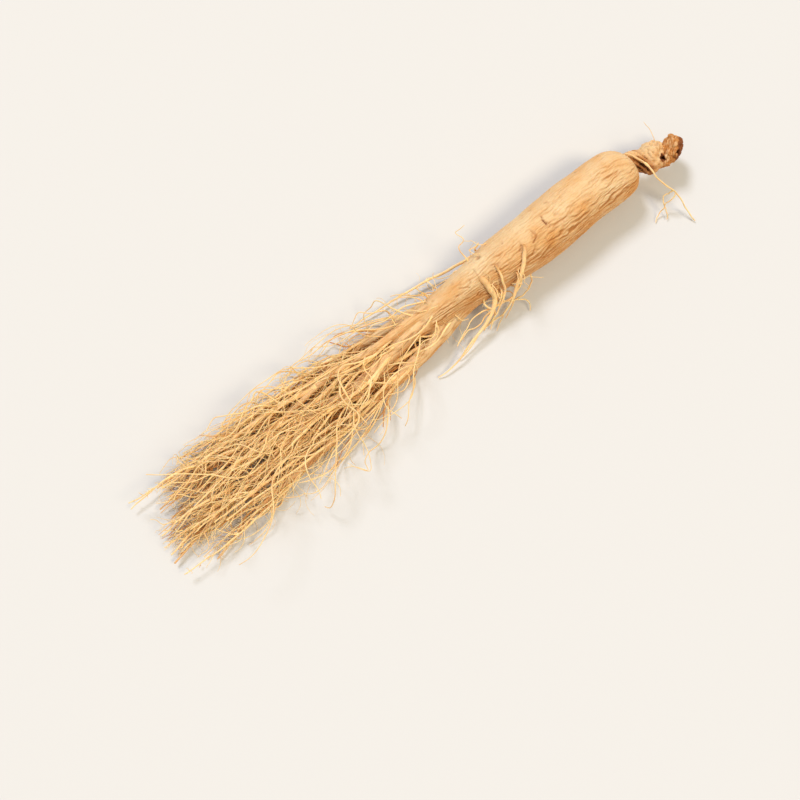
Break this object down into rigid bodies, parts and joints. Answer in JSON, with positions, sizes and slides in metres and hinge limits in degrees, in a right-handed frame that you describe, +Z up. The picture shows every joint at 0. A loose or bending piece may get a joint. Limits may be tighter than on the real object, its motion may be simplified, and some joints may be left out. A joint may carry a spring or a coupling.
{
  "type": "ginseng root",
  "caption": "Whole dried ginseng root lying on its side: stout wrinkled body, gnarled crown on a thin neck, forked legs and long streaming rootlets.",
  "frame": {"origin": "on the flat spot under the belly, on the surface that the root lies on, below the thickest part of the body", "axes": "+X along the body towards the shoulder and crown, +Y to the side, +Z up from the surface"},
  "size_m": [0.2663, 0.0546, 0.0232],
  "materials": {
    "dried_root": "dry, matte to faintly waxy, pale straw to tan skin with long wrinkles"
  },
  "bodies": {
    "root": {"ginseng_root": "dried_root"}
  },
  "joints": []
}
